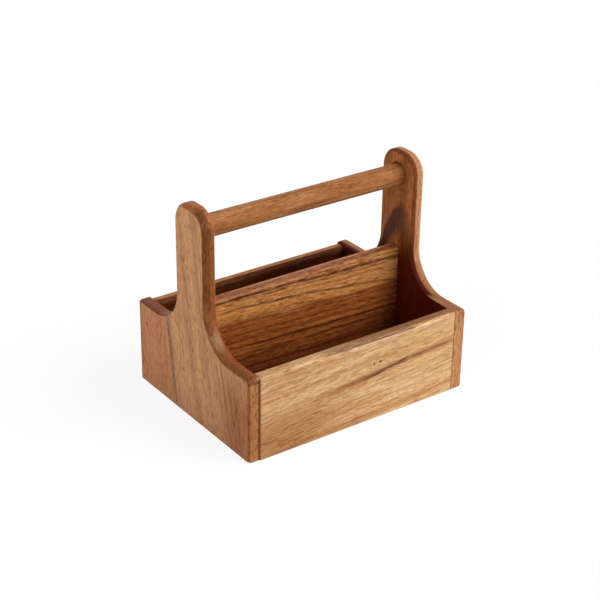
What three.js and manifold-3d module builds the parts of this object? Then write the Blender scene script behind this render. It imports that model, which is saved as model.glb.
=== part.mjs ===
// Table caddy: a wooden tray with two compartments, carried by a round rail between two shaped end panels.
// Millimetres. X runs along the rail, Y from the front to the back, Z up. The origin is the middle of the underside.
import * as THREE from 'three';
import { mergeVertices, toCreasedNormals } from 'three/addons/utils/BufferGeometryUtils.js';
import Module from 'manifold-3d';

const wasm = await Module();
wasm.setup();

// Overall sizes
const CADDY_LENGTH = 255; // over the outer faces of the end panels
const CADDY_DEPTH = 192.5; // front face to back face
const PANEL_HEIGHT = 223; // to the top of the neck

// End panels
const PANEL_THICKNESS = 13;
const SHOULDER_HEIGHT = 88.75;
const NECK_WIDTH = 48.75;
const CROWN_RADIUS = 20; // rounded corners at the top of the neck, in the outline
const COVE_RADIUS = 39.5; // hollow curve between neck and shoulder
const SHOULDER_CORNER = 3; // radius of the shoulder's tip in the outline
const FOOT_CORNER = 3.5; // radius of the lower corners in the outline
const POST_ROUND = 2.5; // rounded outer edges below the shoulders
const ROUND_RUNOUT = 1.5; // height over which the shoulder's rounding turns into the post's

// Rounded edges of neck, coves and shoulders, on the outer face
const OUTER_INSET = 3.25; // taken off the face
const OUTER_DEPTH = 6.5; // taken off the panel's edge
const OUTER_CROWN_DROP = 5; // taken off the face at the top of the neck
const OUTER_CROWN_RADIUS = 15; // corners of the neck's top on the face

// The same edges on the inner face
const INNER_INSET = 1.5;
const INNER_DEPTH = 2.25;
const INNER_CROWN_DROP = 3.75;
const INNER_CROWN_RADIUS = 19;

// Boards
const BOARD_THICKNESS = 13; // front and back boards
const BOARD_DROP = 1.25; // board tops lie this far below the shoulders
const BOARD_ROUND = 4; // rounded top edges of the boards and the divider
const BOARD_FOOT_ROUND = 2; // rounded lower outer edge of the front and back boards
const DIVIDER_THICKNESS = 13;
const DIVIDER_TOP = 123.5; // height of the divider's top edge above the table

// Floor panel and the grooves that hold it
const BASE_THICKNESS = 8;
const BASE_LIFT = 5; // underside of the groove above the table
const GROOVE_DEPTH = 4;
const FIT = 0.25; // clearance of a fitted face to its groove or hole

// Handle rail and its blind sockets
const RAIL_DIAMETER = 22;
const RAIL_BELOW_TOP = 23.5; // centre of the sockets below the top of the neck
const RAIL_CHAMFER = 1;
const SOCKET_WALL = 5; // wood left behind the socket
const SOCKET_PLAY = 0.75; // radial play of the rail in its socket
const RAIL_SAG = 0.5; // the rail rests this far below the socket's centre
const RAIL_END_GAP = 0.5;

// Dowel pins that hold the boards to the panels
const PIN_DIAMETER = 6;
const PIN_WALL = 4; // wood left behind the pin's hole in a panel
const PIN_IN_BOARD = 16.5;
const PIN_END_GAP = 0.5;
const PIN_CHAMFER = 0.75;
const PIN_ABOVE_BASE = 12; // lower pins, above the floor panel
const PIN_BELOW_EDGE = 22; // upper pins, below the board's top edge

// Fineness of the curved faces
const ARC_STEP = Math.PI / 24;
const ROUND_STEPS = 3;
const POST_POINTS = 2; // points of a panel's ring below the tip of the shoulder
const RAIL_SIDES = 48;
const PIN_SIDES = 16;
const WELD = 1e-5;
const CREASE = Math.PI / 6;
const CUT_OVERRUN = 1; // how far a cutter passes the face that it opens
const QUARTER = Math.PI / 2;

// Sizes that follow
const innerLength = CADDY_LENGTH - 2 * PANEL_THICKNESS;
const boardHeight = SHOULDER_HEIGHT - BOARD_DROP;
const baseBottom = BASE_LIFT + FIT;
const baseTop = baseBottom + BASE_THICKNESS;
const grooveTop = baseTop + FIT;
const boardInnerFace = CADDY_DEPTH / 2 - BOARD_THICKNESS;
const socketDepth = PANEL_THICKNESS - SOCKET_WALL;
const socketHeight = PANEL_HEIGHT - RAIL_BELOW_TOP;
const pinHoleInPanel = PANEL_THICKNESS - PIN_WALL;
const pinHoleInBoard = PIN_IN_BOARD + PIN_END_GAP;
const pinInPanel = pinHoleInPanel - PIN_END_GAP;
const pinHoleRadius = PIN_DIAMETER / 2 + FIT;
const quarterSteps = Math.round(QUARTER / ARC_STEP);

// Turns a shape drawn on (y, z) and extruded along its own third axis so that it runs along X.
const sectionToLength = new THREE.Matrix4().makeBasis(
  new THREE.Vector3(0, 1, 0),
  new THREE.Vector3(0, 0, 1),
  new THREE.Vector3(1, 0, 0),
);

function solidFrom(geometry) {
  const bare = new THREE.BufferGeometry();
  bare.setAttribute('position', geometry.getAttribute('position'));
  bare.setIndex(geometry.index);
  const welded = mergeVertices(bare, WELD);
  const corners = welded.index.array;
  const triangles = [];
  for (let i = 0; i < corners.length; i += 3) {
    const [a, b, c] = corners.subarray(i, i + 3);
    if (a !== b && b !== c && c !== a) triangles.push(a, b, c);
  }
  return new wasm.Manifold(new wasm.Mesh({
    numProp: 3,
    vertProperties: new Float32Array(welded.getAttribute('position').array),
    triVerts: new Uint32Array(triangles),
  }));
}

function geometryFrom(solid) {
  const mesh = solid.getMesh();
  const geometry = new THREE.BufferGeometry();
  geometry.setAttribute('position', new THREE.BufferAttribute(mesh.vertProperties, 3));
  geometry.setIndex(new THREE.BufferAttribute(mesh.triVerts, 1));
  return toCreasedNormals(geometry, CREASE);
}

// Points along an arc on the (y, z) plane, both ends included.
function arcPoints(centreY, centreZ, radius, from, to) {
  const steps = Math.max(2, Math.round(Math.abs(to - from) / ARC_STEP));
  const points = [];
  for (let step = 0; step <= steps; step++) {
    const angle = from + (to - from) * step / steps;
    points.push(new THREE.Vector2(centreY + radius * Math.cos(angle), centreZ + radius * Math.sin(angle)));
  }
  return points;
}

// A straight cylinder along X, used as a drill.
function drill(fromX, toX, y, z, radius, sides) {
  const cylinder = new THREE.CylinderGeometry(radius, radius, toX - fromX, sides);
  cylinder.rotateZ(-QUARTER);
  cylinder.translate((fromX + toX) / 2, y, z);
  return solidFrom(cylinder);
}

// A turned rod along its own Y axis, centred, with chamfered ends.
function turnedRod(diameter, length, chamfer, sides) {
  const radius = diameter / 2;
  const end = length / 2;
  const profile = [
    new THREE.Vector2(0, -end),
    new THREE.Vector2(radius - chamfer, -end),
    new THREE.Vector2(radius, chamfer - end),
    new THREE.Vector2(radius, end - chamfer),
    new THREE.Vector2(radius - chamfer, end),
    new THREE.Vector2(0, end),
  ];
  return new THREE.LatheGeometry(profile, sides);
}

// How the panel's edges are rounded. The boards meet the inner face square, so the posts are rounded only outside.
const topRoundings = {
  outer: {
    inset: OUTER_INSET,
    depth: OUTER_DEPTH,
    crownDrop: OUTER_CROWN_DROP,
    crownRadius: OUTER_CROWN_RADIUS,
  },
  inner: {
    inset: INNER_INSET,
    depth: INNER_DEPTH,
    crownDrop: INNER_CROWN_DROP,
    crownRadius: INNER_CROWN_RADIUS,
  },
};
const postRoundings = {
  outer: { inset: POST_ROUND, depth: POST_ROUND },
  inner: { inset: 0, depth: 0 },
};

// One step of a rounding: how far it lies in from the edge and how deep below the face. The arc runs into the edge
// smoothly and meets the face in an arris where its depth is more than its inset. Share 0 is the face, 1 the edge.
function roundingStep({ inset, depth }, share) {
  if (inset === 0) return { inset: 0, sunk: 0 };
  const radius = (depth ** 2 + inset ** 2) / (2 * inset);
  const start = Math.asin((radius - inset) / radius);
  const angle = start + (QUARTER - start) * share;
  return { inset: radius * (1 - Math.sin(angle)), sunk: depth - radius * Math.cos(angle) };
}

// Half of one ring of points round the plate, from the foot up to the crown.
function halfRing(face, share) {
  const rounding = topRoundings[face];
  const top = roundingStep(rounding, share);
  const post = roundingStep(postRoundings[face], share);
  const place = (sunk) => (point) => {
    return new THREE.Vector3(face === 'outer' ? sunk : PANEL_THICKNESS - sunk, point.x, point.y);
  };
  const tipRadius = Math.max(SHOULDER_CORNER, top.inset);
  const tipY = CADDY_DEPTH / 2 - tipRadius;
  const tipZ = SHOULDER_HEIGHT - tipRadius;
  const coveY = NECK_WIDTH / 2 + COVE_RADIUS;
  const coveZ = SHOULDER_HEIGHT + COVE_RADIUS;
  const nearFace = top.inset / rounding.inset;
  const crownRadius = CROWN_RADIUS + nearFace * (rounding.crownRadius - CROWN_RADIUS);
  const crownY = NECK_WIDTH / 2 - top.inset - crownRadius;
  const crownZ = PANEL_HEIGHT - nearFace * rounding.crownDrop - crownRadius;
  const postY = CADDY_DEPTH / 2 - post.inset;
  const postTop = SHOULDER_HEIGHT - Math.max(SHOULDER_CORNER, rounding.inset) - ROUND_RUNOUT;
  const postPoints = [new THREE.Vector2(postY, post.inset), new THREE.Vector2(postY, postTop)];
  const topPoints = [
    ...arcPoints(tipY, tipZ, tipRadius - top.inset, 0, QUARTER),
    ...arcPoints(coveY, coveZ, COVE_RADIUS + top.inset, -QUARTER, -2 * QUARTER),
    ...arcPoints(crownY, crownZ, crownRadius, 0, QUARTER),
  ];
  return [...postPoints.map(place(post.sunk)), ...topPoints.map(place(top.sunk))];
}

function plateRing(face, share) {
  const right = halfRing(face, share);
  const left = right.map((point) => new THREE.Vector3(point.x, -point.y, point.z)).reverse();
  return [...right, ...left];
}

// Triangles that close the face inside one ring and look towards +X: level strips from the back to the front, and
// a fan at the tip of each shoulder, where a strip would have no height.
function faceTriangles(start, count) {
  const postTop = POST_POINTS - 1;
  const coveFoot = POST_POINTS + quarterSteps + 1;
  const mirrored = (point) => count - 1 - point;
  const triangles = [];
  for (let tip = postTop; tip < coveFoot - 1; tip++) {
    triangles.push(coveFoot, tip, tip + 1, mirrored(coveFoot), mirrored(tip + 1), mirrored(tip));
  }
  const levels = [0, postTop];
  for (let level = coveFoot; level < count / 2; level++) levels.push(level);
  for (let i = 0; i < levels.length - 1; i++) {
    const low = levels[i];
    const high = levels[i + 1];
    triangles.push(low, high, mirrored(high), low, mirrored(high), mirrored(low));
  }
  return triangles.map((corner) => start + corner);
}

// The end panel's plate with its edges rounded over, as a router leaves them, its outer face at x = 0.
function roundedPlate() {
  const shares = Array.from({ length: ROUND_STEPS + 1 }, (_, step) => step / ROUND_STEPS);
  const outerRings = shares.map((share) => plateRing('outer', share));
  const innerRings = shares.map((share) => plateRing('inner', share)).reverse();
  const rings = [...outerRings, ...innerRings];
  const count = rings[0].length;
  const index = [];
  for (let ring = 0; ring < rings.length - 1; ring++) {
    for (let i = 0; i < count; i++) {
      const next = (i + 1) % count;
      const a = ring * count + i;
      const b = ring * count + next;
      index.push(a, b, b + count, a, b + count, a + count);
    }
  }
  const outerFace = faceTriangles(0, count).reverse();
  const innerFace = faceTriangles((rings.length - 1) * count, count);
  index.push(...outerFace, ...innerFace);
  const geometry = new THREE.BufferGeometry().setFromPoints(rings.flat());
  geometry.setIndex(index);
  return geometry;
}

// A section on (y, z), extruded along X from x = 0.
function extrudeAlongX(section, length) {
  const geometry = new THREE.ExtrudeGeometry(section, { depth: length, bevelEnabled: false });
  return geometry.applyMatrix4(sectionToLength);
}

// The blank that gives the panel its rounded lower corners.
function footBlank() {
  const halfDepth = CADDY_DEPTH / 2;
  const top = PANEL_HEIGHT + CUT_OVERRUN;
  const points = [
    ...arcPoints(FOOT_CORNER - halfDepth, FOOT_CORNER, FOOT_CORNER, -2 * QUARTER, -QUARTER),
    ...arcPoints(halfDepth - FOOT_CORNER, FOOT_CORNER, FOOT_CORNER, -QUARTER, 0),
    new THREE.Vector2(halfDepth, top),
    new THREE.Vector2(-halfDepth, top),
  ];
  return solidFrom(extrudeAlongX(new THREE.Shape(points), PANEL_THICKNESS));
}

// The stopped groove that takes the end of the floor panel.
function panelGroove() {
  const halfWidth = boardInnerFace + GROOVE_DEPTH;
  const cutter = new THREE.BoxGeometry(GROOVE_DEPTH + CUT_OVERRUN, 2 * halfWidth, grooveTop - BASE_LIFT);
  cutter.translate(PANEL_THICKNESS - (GROOVE_DEPTH - CUT_OVERRUN) / 2, 0, (grooveTop + BASE_LIFT) / 2);
  return solidFrom(cutter);
}

// Each board that is pinned to the panels: its name, its middle plane and its pins' heights.
function pinnedBoard(name, y, topEdge) {
  const heights = { low: baseTop + PIN_ABOVE_BASE, high: topEdge - PIN_BELOW_EDGE };
  return { name, y, heights };
}

const pinnedBoards = [
  pinnedBoard('front', BOARD_THICKNESS / 2 - CADDY_DEPTH / 2, boardHeight),
  pinnedBoard('back', CADDY_DEPTH / 2 - BOARD_THICKNESS / 2, boardHeight),
  pinnedBoard('divider', 0, DIVIDER_TOP),
];

// The end panel, its outer face at x = 0 and its inner face towards +X.
function endPanel() {
  let panel = solidFrom(roundedPlate()).intersect(footBlank());
  panel = panel.subtract(panelGroove());
  const past = PANEL_THICKNESS + CUT_OVERRUN;
  const socketRadius = RAIL_DIAMETER / 2 + SOCKET_PLAY;
  panel = panel.subtract(drill(SOCKET_WALL, past, 0, socketHeight, socketRadius, RAIL_SIDES));
  for (const board of pinnedBoards) {
    for (const height of Object.values(board.heights)) {
      panel = panel.subtract(drill(PIN_WALL, past, board.y, height, pinHoleRadius, PIN_SIDES));
    }
  }
  return geometryFrom(panel);
}

// Drills the pin holes into both ends of a board that lies along X.
function drillEnds(blank, y, heights) {
  const end = innerLength / 2;
  let board = blank;
  for (const height of heights) {
    board = board.subtract(drill(end - pinHoleInBoard, end + CUT_OVERRUN, y, height, pinHoleRadius, PIN_SIDES));
    board = board.subtract(drill(-end - CUT_OVERRUN, pinHoleInBoard - end, y, height, pinHoleRadius, PIN_SIDES));
  }
  return board;
}

// Front and back board: outer face at y = 0, groove for the floor panel on the inner face.
function sideBoard() {
  const round = Math.min(BOARD_ROUND, BOARD_THICKNESS / 2);
  const grooveFace = BOARD_THICKNESS - GROOVE_DEPTH;
  const section = new THREE.Shape([
    ...arcPoints(BOARD_FOOT_ROUND, BOARD_FOOT_ROUND, BOARD_FOOT_ROUND, -2 * QUARTER, -QUARTER),
    new THREE.Vector2(BOARD_THICKNESS, 0),
    new THREE.Vector2(BOARD_THICKNESS, BASE_LIFT),
    new THREE.Vector2(grooveFace, BASE_LIFT),
    new THREE.Vector2(grooveFace, grooveTop),
    new THREE.Vector2(BOARD_THICKNESS, grooveTop),
    ...arcPoints(BOARD_THICKNESS - round, boardHeight - round, round, 0, QUARTER),
    ...arcPoints(round, boardHeight - round, round, QUARTER, 2 * QUARTER),
  ]);
  const blank = extrudeAlongX(section, innerLength);
  blank.translate(-innerLength / 2, 0, 0);
  const heights = Object.values(pinnedBoards[0].heights);
  return geometryFrom(drillEnds(solidFrom(blank), BOARD_THICKNESS / 2, heights));
}

// Divider: stands on the floor panel, its middle plane at y = 0 and its foot at z = 0.
function dividerBoard() {
  const half = DIVIDER_THICKNESS / 2;
  const round = Math.min(BOARD_ROUND, half);
  const height = DIVIDER_TOP - baseTop;
  const section = new THREE.Shape([
    new THREE.Vector2(-half, 0),
    new THREE.Vector2(half, 0),
    ...arcPoints(half - round, height - round, round, 0, QUARTER),
    ...arcPoints(round - half, height - round, round, QUARTER, 2 * QUARTER),
  ]);
  const blank = extrudeAlongX(section, innerLength);
  blank.translate(-innerLength / 2, 0, 0);
  const heights = Object.values(pinnedBoards[2].heights).map((height) => height - baseTop);
  return geometryFrom(drillEnds(solidFrom(blank), 0, heights));
}

// Floor panel, centred on its own middle.
function basePanel() {
  const reach = GROOVE_DEPTH - FIT;
  return new THREE.BoxGeometry(innerLength + 2 * reach, 2 * (boardInnerFace + reach), BASE_THICKNESS);
}

function handleRail() {
  const length = innerLength + 2 * (socketDepth - RAIL_END_GAP);
  return turnedRod(RAIL_DIAMETER, length, RAIL_CHAMFER, RAIL_SIDES);
}

function dowelPin() {
  return turnedRod(PIN_DIAMETER, pinInPanel + PIN_IN_BOARD, PIN_CHAMFER, PIN_SIDES);
}

// Finishes, as plain colours
const oiledWood = (colour, roughness) => new THREE.MeshStandardMaterial({ color: colour, roughness, metalness: 0 });
const finishes = {
  end_panel_left: oiledWood(0xb58a62, 0.5),
  end_panel_right: oiledWood(0xa8744c, 0.5),
  front_board: oiledWood(0xcfa068, 0.5),
  back_board: oiledWood(0xa9713f, 0.5),
  divider_board: oiledWood(0x9c6a3a, 0.5),
  base_panel: oiledWood(0x8a5a34, 0.55),
  handle_rail: oiledWood(0xa9693f, 0.45),
};
const pinWood = oiledWood(0xdcc39a, 0.65);

function namedMesh(name, geometry, material) {
  const mesh = new THREE.Mesh(geometry, material);
  mesh.name = name;
  return mesh;
}

const caddy = new THREE.Group();

const panelShape = endPanel();
const leftPanel = namedMesh('end_panel_left', panelShape, finishes.end_panel_left);
leftPanel.position.x = -CADDY_LENGTH / 2;
caddy.add(leftPanel);
const rightPanel = namedMesh('end_panel_right', panelShape, finishes.end_panel_right);
rightPanel.position.x = CADDY_LENGTH / 2;
rightPanel.rotation.z = Math.PI;
caddy.add(rightPanel);

const boardShape = sideBoard();
const frontBoard = namedMesh('front_board', boardShape, finishes.front_board);
frontBoard.position.y = -CADDY_DEPTH / 2;
caddy.add(frontBoard);
const backBoard = namedMesh('back_board', boardShape, finishes.back_board);
backBoard.position.y = CADDY_DEPTH / 2;
backBoard.rotation.z = Math.PI;
caddy.add(backBoard);

const base = namedMesh('base_panel', basePanel(), finishes.base_panel);
base.position.z = (baseBottom + baseTop) / 2;
caddy.add(base);

const divider = namedMesh('divider_board', dividerBoard(), finishes.divider_board);
divider.position.z = baseTop;
caddy.add(divider);

const rail = namedMesh('handle_rail', handleRail(), finishes.handle_rail);
rail.position.z = socketHeight - RAIL_SAG;
rail.rotation.z = -QUARTER;
caddy.add(rail);

// The pins lie along X, partly in the panel and partly in the board's end.
const pinShape = dowelPin();
const pinMiddle = innerLength / 2 + (pinInPanel - PIN_IN_BOARD) / 2;
for (const board of pinnedBoards) {
  for (const [side, sign] of [['left', -1], ['right', 1]]) {
    for (const [level, height] of Object.entries(board.heights)) {
      const pin = namedMesh(`pin_${board.name}_${side}_${level}`, pinShape, pinWood);
      pin.position.set(sign * pinMiddle, board.y, height);
      pin.rotation.z = -QUARTER;
      caddy.add(pin);
    }
  }
}

export default caddy;
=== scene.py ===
"""Dresses a wooden table caddy: its pieces, their wood, the floor, the lamps and the camera.

The caddy has two end panels with a neck and hollow shoulders, a front and a back board, a taller divider,
a floor panel, a round carrying rail in blind sockets, and twelve dowel pins in the joints. Lengths are in
metres where they are sizes of a piece, and in millimetres where they place a figure in the wood.
"""

from collections import namedtuple
from math import asin, cos, pi, radians, sin

import bmesh
import bpy
from bpy.props import FloatProperty, FloatVectorProperty, IntProperty, PointerProperty
from mathutils import Matrix, Vector


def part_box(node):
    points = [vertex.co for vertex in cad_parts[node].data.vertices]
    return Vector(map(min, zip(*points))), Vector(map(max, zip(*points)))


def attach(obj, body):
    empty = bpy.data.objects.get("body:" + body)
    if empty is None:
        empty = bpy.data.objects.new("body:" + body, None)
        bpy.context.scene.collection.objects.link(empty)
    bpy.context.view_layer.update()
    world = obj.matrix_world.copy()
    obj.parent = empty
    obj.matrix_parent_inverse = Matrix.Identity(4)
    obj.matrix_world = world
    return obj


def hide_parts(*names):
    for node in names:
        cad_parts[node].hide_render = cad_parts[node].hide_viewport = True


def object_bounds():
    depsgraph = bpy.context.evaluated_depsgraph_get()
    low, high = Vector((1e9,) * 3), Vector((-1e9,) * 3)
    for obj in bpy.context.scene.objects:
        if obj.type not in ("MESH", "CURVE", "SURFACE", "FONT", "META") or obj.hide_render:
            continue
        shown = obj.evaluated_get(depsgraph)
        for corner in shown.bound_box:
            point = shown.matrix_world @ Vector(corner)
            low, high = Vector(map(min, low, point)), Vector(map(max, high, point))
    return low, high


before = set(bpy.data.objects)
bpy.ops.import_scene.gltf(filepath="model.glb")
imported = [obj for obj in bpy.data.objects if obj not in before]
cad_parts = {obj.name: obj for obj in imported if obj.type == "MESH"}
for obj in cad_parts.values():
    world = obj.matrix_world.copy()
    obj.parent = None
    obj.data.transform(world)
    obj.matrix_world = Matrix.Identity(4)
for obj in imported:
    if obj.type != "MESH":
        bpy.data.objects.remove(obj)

bl_info = {
    "name": "Table Caddy",
    "version": (1, 0, 0),
    "blender": (4, 5, 0),
    "location": "View3D > Sidebar > Caddy",
    "description": "Builds the pieces of a wooden table caddy, their oiled wood and a studio stage",
    "category": "Object",
}

CAD_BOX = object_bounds()
BODY = "root"
MM = 0.001
QUARTER = pi / 2
SIDES = ("left", "right")

# Kind of a tree's input, by the kind of its default
SOCKET_KINDS = {float: "NodeSocketFloat", int: "NodeSocketInt", tuple: "NodeSocketVector"}

# How finely and how sharply the pieces are made
SHARP_ANGLE = radians(25)
WELD_DISTANCE = 0.001 * MM
ARC_STEPS = {"foot": 6, "tip": 6, "cove": 36, "crown": 24}
SECTION_STEPS = 10
BEVEL_ANGLE = radians(50)
TURNING_MARKS = 60.0

# Play and facets of the holes, and how far a cut runs past a face
PIN_END_GAP = 0.5 * MM
PIN_PLAY = 0.25 * MM
PIN_HOLE_SIDES = 24
SOCKET_SIDES = 96
CUT_OVERRUN = 1 * MM

# Share of a rounding's lightness that is left on the crown
CROWN_SHARE = 0.25

# Faces of the caddy in millimetres, from which figures in the wood are placed
HALF_LENGTH = CAD_BOX[1][0] / MM
HALF_DEPTH = CAD_BOX[1][1] / MM
INNER_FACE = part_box("end_panel_right")[0].x / MM
PANEL_THICKNESS = HALF_LENGTH - INNER_FACE

# Light on each piece as a share of full light, for red, green and blue
FRONT_LIGHT = (1.0, 1.0, 1.0)
LEFT_LIGHT = (0.8, 0.86, 0.93)
RIGHT_LIGHT = (0.56, 0.64, 0.95)
DIVIDER_LIGHT = (0.75, 0.85, 0.85)
BACK_LIGHT = (1.15, 1.25, 1.35)
RAIL_LIGHT = (0.9, 0.92, 1.05)
FLOOR_PANEL_LIGHT = (0.9, 0.9, 0.9)

# How the grain of every wood wanders: the size of a bend along and across, and its share of the wood's wander
WANDERS = (((90, 30), 2.0), ((17, 6), 0.7))

# Patterns in every wood, as their size along and across the grain in millimetres
TONE_DRIFT = (110, 11)
STREAK_BREAKS = (13, 1.3)
VESSEL_CROWDS = (60, 7)
BROAD_FIBRE = (34, 2.0)
FINE_FIBRE = (14, 0.75)

# Values of a noise between which a pattern fades in
RING_EDGES = (0.45, 0.68)
BREAK_EDGES = (0.3, 0.6)
FIBRE_EDGES = (0.34, 0.66)
GLOSS_EDGES = (0.3, 0.7)
VESSEL_FADE = 0.13

# Depth of the fibres and vessels in the surface, and how much rougher the vessels are
RELIEF = 0.25 * MM
VESSEL_DEPTH = 1.2
VESSEL_ROUGHNESS = 0.2

# The right panel's figures in millimetres: the arch's middle across the panel and how much it bends, and the
# height and slope of the wedge. Sap edge and off face are depths below the inner face, where sapwood begins
# and where the edge's own marks begin. Shoulder edge is where the wood changes at the shoulders' height.
ARCH_MIDDLE = -7.0
ARCH_BEND = 0.055
WEDGE_HEIGHT = 65.0
WEDGE_SLOPE = 0.54
SAP_EDGE = (3.7, 4.9)
SHOULDER_EDGE = (86.0, 88.5)
OFF_FACE = (0.05, 0.4)

# Camera. Its aim is given on the screen plane through the origin, in metres to the right and up. Its lens and
# its sensor are in millimetres.
VIEW_AZIMUTH = radians(-36.04)
VIEW_ELEVATION = radians(27.0)
VIEW_ROLL = radians(0.877)
VIEW_DISTANCE = 1.5416
VIEW_AIM = (-0.00057, 0.08254)
VIEW_LENS = 92.37
SENSOR = 36.0

# Lamps, as azimuth from the front towards +X and elevation, and the floor
KEY_LAMP = (radians(38), radians(42))
FILL_LAMP = (radians(-78), radians(14))
LAMP_SPREAD = radians(50)
FLOOR_HALF = 6.0
FLOOR_DROP = 0.4 * MM


def paint(code):
    """A linear colour from the six hexadecimal digits of a screen colour."""
    channels = [int(code[i : i + 2], 16) / 255 for i in (0, 2, 4)]
    return tuple(c / 12.92 if c <= 0.04045 else ((c + 0.055) / 1.055) ** 2.4 for c in channels)


def length_property(name, description, millimetres):
    default = millimetres * MM
    return FloatProperty(name=name, description=description, default=default, unit="LENGTH", precision=5)


def number_property(name, description, default, least=0.0, **more):
    return FloatProperty(name=name, description=description, default=default, min=least, **more)


def share_property(name, description, default, least=0.0):
    return number_property(name, description, default, least, max=1, subtype="FACTOR")


def count_property(name, description, default, least):
    return IntProperty(name=name, description=description, default=default, min=least)


def colour_property(name, description, code):
    colour = paint(code)
    return FloatVectorProperty(name=name, description=description, default=colour, subtype="COLOR", size=3)


# Settings


class CaddyPanelSettings(bpy.types.PropertyGroup):
    """Shape and wood of the two end panels"""

    front_left_shoulder: length_property("Front left shoulder", "Its top above the table", 88.5)
    front_right_shoulder: length_property("Front right shoulder", "Its top above the table", 87.3)
    back_left_shoulder: length_property("Back left shoulder", "Its top above the table", 89.8)
    back_right_shoulder: length_property("Back right shoulder", "Its top above the table", 89.6)
    neck_width: length_property("Neck width", "Width of the upright neck", 48.75)
    crown_radius: length_property("Crown radius", "Rounded corners at the top of the neck, in outline", 20)
    cove_radius: length_property("Cove radius", "Hollow curve between the neck and a shoulder", 39.5)
    shoulder_corner: length_property("Shoulder corner", "Radius of the shoulder's tip in the outline", 3)
    foot_corner: length_property("Foot corner", "Radius of the lower corner in the outline", 3.2)
    foot_depth: length_property("Foot rounding", "Taken off the underside by the outer rounding", 7)
    outer_inset: length_property("Outer inset", "Taken off the outer face by its rounding", 3.25)
    outer_depth: length_property("Outer depth", "Taken off the panel's edge by the outer rounding", 6.5)
    outer_drop: length_property("Outer crown drop", "Taken off the outer face at the top of the neck", 5)
    outer_crown: length_property("Outer crown radius", "Corners of the neck's top on the outer face", 15)
    light_hand: share_property("Light hand", "Share of the outer rounding away from the front left", 0.6, 0.1)
    inner_inset: length_property("Inner inset", "Taken off the inner face by its rounding", 1.5)
    inner_depth: length_property("Inner depth", "Taken off the panel's edge by the inner rounding", 2.25)
    inner_drop: length_property("Inner crown drop", "Taken off the inner face at the top of the neck", 3.75)
    inner_crown: length_property("Inner crown radius", "Corners of the neck's top on the inner face", 19)
    post_round: length_property("Post rounding", "Taken off the outer face below the shoulders", 2.5)
    post_depth: length_property("Post depth", "Taken off the post's edge by its rounding", 3)
    runout: length_property("Rounding run-out", "Height over which one rounding turns into the other", 1.5)
    round_steps: count_property("Rounding steps", "Facets across a rounded edge", 8, 2)
    light: colour_property("Light wood", "Palest tone of the left panel", "B98A5E")
    middle: colour_property("Middle wood", "Common tone of the left panel", "A87A50")
    dark: colour_property("Dark wood", "Late wood and stripes of the left panel", "7C4E33")
    heart_light: colour_property("Light heartwood", "Palest tone of the right panel", "8A593B")
    heart_middle: colour_property("Middle heartwood", "Common tone of the right panel", "7F4F32")
    heart_dark: colour_property("Dark heartwood", "Late wood and figure of the right panel", "40221A")


class CaddyBoardSettings(bpy.types.PropertyGroup):
    """Shape and wood of the front board, the back board and the divider"""

    top_round: length_property("Top rounding", "Rounded top edges of the boards and the divider", 4)
    foot_round: length_property("Foot rounding", "Rounded lower outer edge of the boards", 1.5)
    end_ease: length_property("End easing", "Small bevel round the shaded joint", 0.35)
    groove_play: length_property("Groove play", "Clearance above and below the floor panel", 0.25)
    light: colour_property("Light wood", "Palest tone of the front board", "DEB685")
    middle: colour_property("Middle wood", "Common tone of the front board", "CC9E67")
    dark: colour_property("Dark wood", "Streaks of the front board", "98653C")
    figured_light: colour_property("Light figure", "Golden bands of the divider", "BC8D54")
    figured_middle: colour_property("Middle figure", "Common tone of the divider", "8E5828")
    figured_dark: colour_property("Dark figure", "Dark lines of the divider", "461F10")


class CaddyRailSettings(bpy.types.PropertyGroup):
    """Shape and wood of the carrying rail and the dowel pins"""

    chamfer: length_property("End chamfer", "Turned chamfer at both ends of the rail", 1)
    wobble: length_property("Turning marks", "Unevenness left by turning and sanding", 0.06)
    sides: count_property("Sides", "Facets round the rail", 72, 12)
    play: length_property("Socket play", "Radial clearance of the rail in its socket", 0.75)
    sag: length_property("Rail sag", "How far the rail rests below the middle of its socket", 0.5)
    socket_wall: length_property("Socket wall", "Wood left behind the blind socket", 5)
    flute_depth: length_property("Flute depth", "Depth of the flutes in a dowel pin", 0.2)
    flutes: count_property("Flutes", "Flutes round a dowel pin", 18, 6)
    light: colour_property("Light wood", "Palest tone of the rail", "A97247")
    middle: colour_property("Middle wood", "Common tone of the rail", "8F5B36")
    dark: colour_property("Dark wood", "Fine streaks of the rail", "582C14")
    pin: colour_property("Pin wood", "Plain light wood of the dowel pins", "DCC39A")


class CaddyStageSettings(bpy.types.PropertyGroup):
    """Floor, lamps and camera"""

    key: number_property("Key lamp", "Share of full light from the front right", 0.85)
    fill: number_property("Fill lamp", "Share of full light from the left", 0.42)
    ambient: number_property("Ambient light", "Strength of the light from all round", 0.2)
    shadow: share_property("Floor shadow", "Share of the floor that takes shadow", 0.15)
    glow: number_property("Floor glow", "Brightness of the rest of the floor", 1.04)
    floor: colour_property("Floor", "Colour of the floor", "F4F4F4")


# Meshes


def arc(across, up, radius, start, end, steps):
    """Points along an arc on a plane, both ends included."""
    points = []
    for step in range(steps + 1):
        angle = start + (end - start) * step / steps
        points.append((across + radius * cos(angle), up + radius * sin(angle)))
    return points


def new_piece(name, data):
    """Puts an object into the scene."""
    piece = bpy.data.objects.new(name, data)
    bpy.context.scene.collection.objects.link(piece)
    return piece


def mesh_from(name, vertices, edges=(), faces=()):
    mesh = bpy.data.meshes.new(name)
    mesh.from_pydata(vertices, edges, faces)
    mesh.update()
    return mesh


def drop(piece):
    mesh = piece.data
    bpy.data.objects.remove(piece)
    bpy.data.meshes.remove(mesh)


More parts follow.
